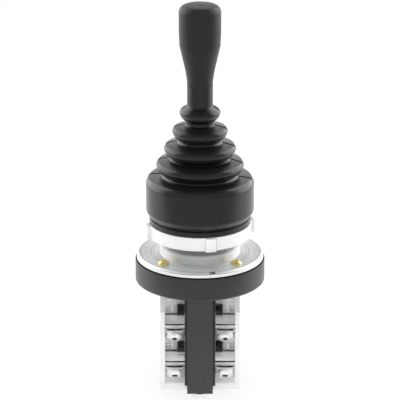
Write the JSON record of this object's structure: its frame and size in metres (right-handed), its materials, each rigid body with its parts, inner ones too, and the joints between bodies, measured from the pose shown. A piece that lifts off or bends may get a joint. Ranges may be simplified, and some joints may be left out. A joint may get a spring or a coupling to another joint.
{
  "type": "industrial joystick switch",
  "caption": "Panel-mount joystick switch: cross-tilting lever with bellows boot, threaded neck with ring nut, round base and clear stacked contact blocks on a spine.",
  "frame": {"origin": "on the lever axis, in the top face of the flange that seats under the panel", "axes": "+Z along the lever away from the panel, -Y the operator's side seen in the picture, +X to the right"},
  "size_m": [0.0486, 0.0486, 0.1508],
  "materials": {
    "knob_plastic": "satin moulding",
    "boot_rubber": "matt",
    "aluminium": "turned, bright",
    "black_plastic": "fine texture",
    "clear_plastic": "clear moulding",
    "white_plastic": "smooth",
    "steel": "bright zinc",
    "tinned_plate": "nickel plated",
    "contact_alloy": "satin",
    "brass": "bright"
  },
  "bodies": {
    "body": {"base": "black_plastic", "boot": "boot_rubber", "boot_retainer": "black_plastic", "bottom_screw": "steel", "bottom_washer": "steel", "clamp_washers_left_lower": "steel", "clamp_washers_left_upper": "steel", "clamp_washers_right_lower": "steel", "clamp_washers_right_upper": "steel", "cover_left": "clear_plastic", "cover_right": "clear_plastic", "cross_pins": "steel", "flange_screws": "brass", "housing_left_lower": "clear_plastic", "housing_left_upper": "clear_plastic", "housing_right_lower": "clear_plastic", "housing_right_upper": "clear_plastic", "neck_housing": "aluminium", "plunger_spring_left_lower": "steel", "plunger_spring_left_upper": "steel", "plunger_spring_right_lower": "steel", "plunger_spring_right_upper": "steel", "ring_nut": "aluminium", "riser_left": "clear_plastic", "riser_right": "clear_plastic", "spring_seat": "white_plastic", "terminal_plates_left_lower": "tinned_plate", "terminal_plates_left_upper": "tinned_plate", "terminal_plates_right_lower": "tinned_plate", "terminal_plates_right_upper": "tinned_plate", "terminal_screws_left_lower": "steel", "terminal_screws_left_upper": "steel", "terminal_screws_right_lower": "steel", "terminal_screws_right_upper": "steel"},
    "gimbal": {"gimbal_ring": "steel", "gimbal_pins": "steel", "lever_pin": "steel"},
    "lever": {"lever_shaft": "steel", "knob": "knob_plastic", "knob_insert": "brass", "actuator_plate": "white_plastic", "actuator_screw": "steel", "spring_collar": "white_plastic", "collar_clip": "steel", "return_spring": "steel", "lever_spacers": "white_plastic"},
    "pusher_right": {"pusher_right": "white_plastic", "plunger_right_upper": "white_plastic", "contact_bridge_right_upper": "contact_alloy"},
    "pusher_left": {"pusher_left": "white_plastic", "plunger_left_upper": "white_plastic", "contact_bridge_left_upper": "contact_alloy"},
    "pusher_front": {"pusher_front": "white_plastic", "plunger_right_lower": "white_plastic", "contact_bridge_right_lower": "contact_alloy"},
    "pusher_back": {"pusher_back": "white_plastic", "plunger_left_lower": "white_plastic", "contact_bridge_left_lower": "contact_alloy"}
  },
  "joints": [
    {"name": "tilt_front_back", "type": "hinge", "parent": "body", "child": "gimbal", "pos_m": [0, 0, 0.009], "axis": [1, 0, 0], "range_deg": [-15, 15], "stiffness_Nm_per_rad": 0.9, "deforming": ["boot"]},
    {"name": "tilt_left_right", "type": "hinge", "parent": "gimbal", "child": "lever", "pos_m": [0, 0, 0.009], "axis": [0, 1, 0], "range_deg": [-15, 15], "stiffness_Nm_per_rad": 0.9, "deforming": ["return_spring"]},
    {"name": "front_push", "type": "slide", "parent": "body", "child": "pusher_front", "axis": [0, 0, -1], "range_m": [-0.0019, 0.0019], "deforming": ["plunger_spring_right_lower"]},
    {"name": "back_push", "type": "slide", "parent": "body", "child": "pusher_back", "axis": [0, 0, -1], "range_m": [-0.0019, 0.0019], "deforming": ["plunger_spring_left_lower"]},
    {"name": "right_push", "type": "slide", "parent": "body", "child": "pusher_right", "axis": [0, 0, -1], "range_m": [-0.0019, 0.0019], "deforming": ["plunger_spring_right_upper"]},
    {"name": "left_push", "type": "slide", "parent": "body", "child": "pusher_left", "axis": [0, 0, -1], "range_m": [-0.0019, 0.0019], "deforming": ["plunger_spring_left_upper"]}
  ],
  "couplings": [
    {"joint": "front_push", "follows": "tilt_front_back", "m_per_rad": 0.007},
    {"joint": "back_push", "follows": "tilt_front_back", "m_per_rad": -0.007},
    {"joint": "right_push", "follows": "tilt_left_right", "m_per_rad": 0.007},
    {"joint": "left_push", "follows": "tilt_left_right", "m_per_rad": -0.007}
  ]
}
